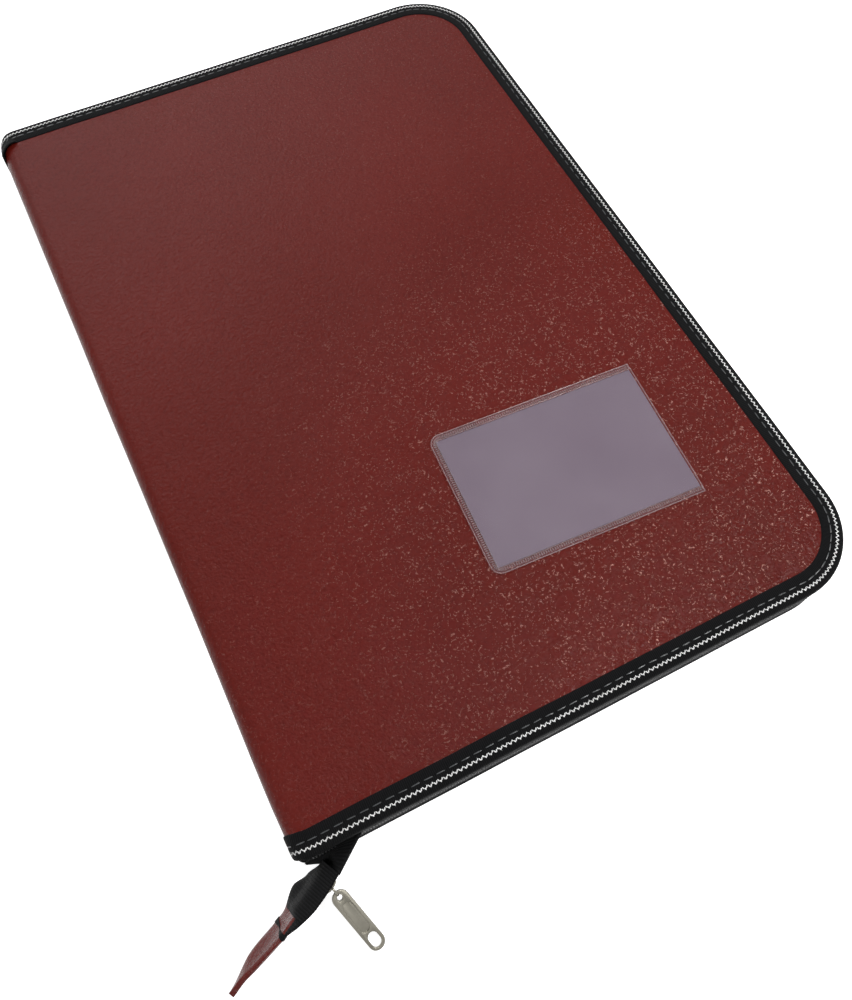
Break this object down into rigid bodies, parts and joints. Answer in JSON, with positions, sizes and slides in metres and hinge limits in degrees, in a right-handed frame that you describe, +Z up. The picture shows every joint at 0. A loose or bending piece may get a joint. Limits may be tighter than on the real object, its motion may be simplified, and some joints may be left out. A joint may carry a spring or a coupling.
{
  "type": "document folder",
  "caption": "Flat zip-round document folder in grained leatherette with ribbed edge binding, zigzag braid, a card pocket on the front and clear sleeves inside.",
  "frame": {"origin": "middle of the back cover's underside, on its surface", "axes": "+X from the spine to the fore edge, +Y from the bottom edge to the top edge, +Z up out of the front cover"},
  "size_m": [0.3072, 0.4356, 0.0254],
  "materials": {
    "leatherette": "pebble grain",
    "board": "matt",
    "lining": "matt",
    "ribbed_tape": "ribbed",
    "white_braid": "woven",
    "coil": "satin",
    "nickel": "worn plating",
    "clear_film": "clear",
    "grey_card": "matt",
    "black_plastic": "satin"
  },
  "bodies": {
    "back_cover": {"back_board": "board", "back_skin": "leatherette", "back_lining": "lining", "back_binding": "ribbed_tape", "back_zigzag_braid": "white_braid", "back_zip_tape": "ribbed_tape", "back_zip_coil": "coil", "back_zip_stop": "nickel", "back_inner_pocket": "lining", "sleeve_strip_lower": "black_plastic", "sleeve_edge_stack": "black_plastic", "sleeve_strip_upper": "black_plastic", "binding_screws": "nickel", "tail_gusset": "ribbed_tape"},
    "spine": {"spine_board": "board", "spine_skin": "leatherette", "spine_lining": "lining", "spine_binding": "ribbed_tape"},
    "front_cover": {"front_board": "board", "front_skin": "leatherette", "front_lining": "lining", "front_binding": "ribbed_tape", "front_zigzag_braid": "white_braid", "front_zip_tape": "ribbed_tape", "front_zip_coil": "coil", "front_zip_stop": "nickel", "front_inner_pocket": "lining", "pocket_backing": "clear_film", "pocket_welded_border": "clear_film", "pocket_film": "clear_film"},
    "card": {"name_card": "grey_card"},
    "leaf_1": {"sleeve_1": "clear_film"},
    "leaf_2": {"sleeve_2": "clear_film"},
    "leaf_3": {"sleeve_3": "clear_film"},
    "leaf_4": {"sleeve_4": "clear_film"},
    "leaf_5": {"sleeve_5": "clear_film"},
    "loose_end": {"tail_back_tape": "ribbed_tape", "tail_front_tape": "ribbed_tape", "tail_coil": "coil", "tail_tab": "leatherette", "tail_tab_band": "ribbed_tape"},
    "slider": {"slider_body": "nickel", "slider_bridge": "nickel"},
    "pull": {"pull_tab": "nickel"}
  },
  "joints": [
    {"name": "spine_fold", "type": "hinge", "parent": "back_cover", "child": "spine", "pos_m": [-0.1335, 0, 0.006], "axis": [0, -1, 0], "range_deg": [0, 90]},
    {"name": "front_fold", "type": "hinge", "parent": "spine", "child": "front_cover", "pos_m": [-0.1335, 0, 0.018], "axis": [0, -1, 0], "range_deg": [0, 90]},
    {"name": "card_slide", "type": "slide", "parent": "front_cover", "child": "card", "axis": [0.9983, -0.0576, 0], "range_m": [0, 0.095]},
    {"name": "leaf_1_turn", "type": "hinge", "parent": "back_cover", "child": "leaf_1", "pos_m": [-0.1142, 0, 0.00476], "axis": [0, -1, 0], "range_deg": [0, 9.9]},
    {"name": "leaf_2_turn", "type": "hinge", "parent": "back_cover", "child": "leaf_2", "pos_m": [-0.1142, 0, 0.00548], "axis": [0, -1, 0], "range_deg": [0, 19.8]},
    {"name": "leaf_3_turn", "type": "hinge", "parent": "back_cover", "child": "leaf_3", "pos_m": [-0.1142, 0, 0.0062], "axis": [0, -1, 0], "range_deg": [0, 29.7]},
    {"name": "leaf_4_turn", "type": "hinge", "parent": "back_cover", "child": "leaf_4", "pos_m": [-0.1142, 0, 0.00692], "axis": [0, -1, 0], "range_deg": [0, 39.6]},
    {"name": "leaf_5_turn", "type": "hinge", "parent": "back_cover", "child": "leaf_5", "pos_m": [-0.1142, 0, 0.00764], "axis": [0, -1, 0], "range_deg": [0, 49.5]},
    {"name": "loose_end_swing", "type": "hinge", "parent": "back_cover", "child": "loose_end", "pos_m": [-0.1222, -0.20279, 0.01223], "axis": [0, 0, 1], "range_deg": [-8, 8]},
    {"name": "slider_travel", "type": "slide", "parent": "loose_end", "child": "slider", "axis": [-0.8902, -0.4555, 0], "range_m": [0, 0.008]},
    {"name": "pull_swing", "type": "hinge", "parent": "slider", "child": "pull", "pos_m": [-0.12533, -0.20973, 0.01069], "axis": [0.1408, -0.2751, 0.9511], "range_deg": [-39, 60]}
  ],
  "couplings": [
    {"joint": "leaf_1_turn", "follows": "front_fold", "ratio": 0.11},
    {"joint": "leaf_2_turn", "follows": "front_fold", "ratio": 0.22},
    {"joint": "leaf_3_turn", "follows": "front_fold", "ratio": 0.33},
    {"joint": "leaf_4_turn", "follows": "front_fold", "ratio": 0.44},
    {"joint": "leaf_5_turn", "follows": "front_fold", "ratio": 0.55}
  ]
}
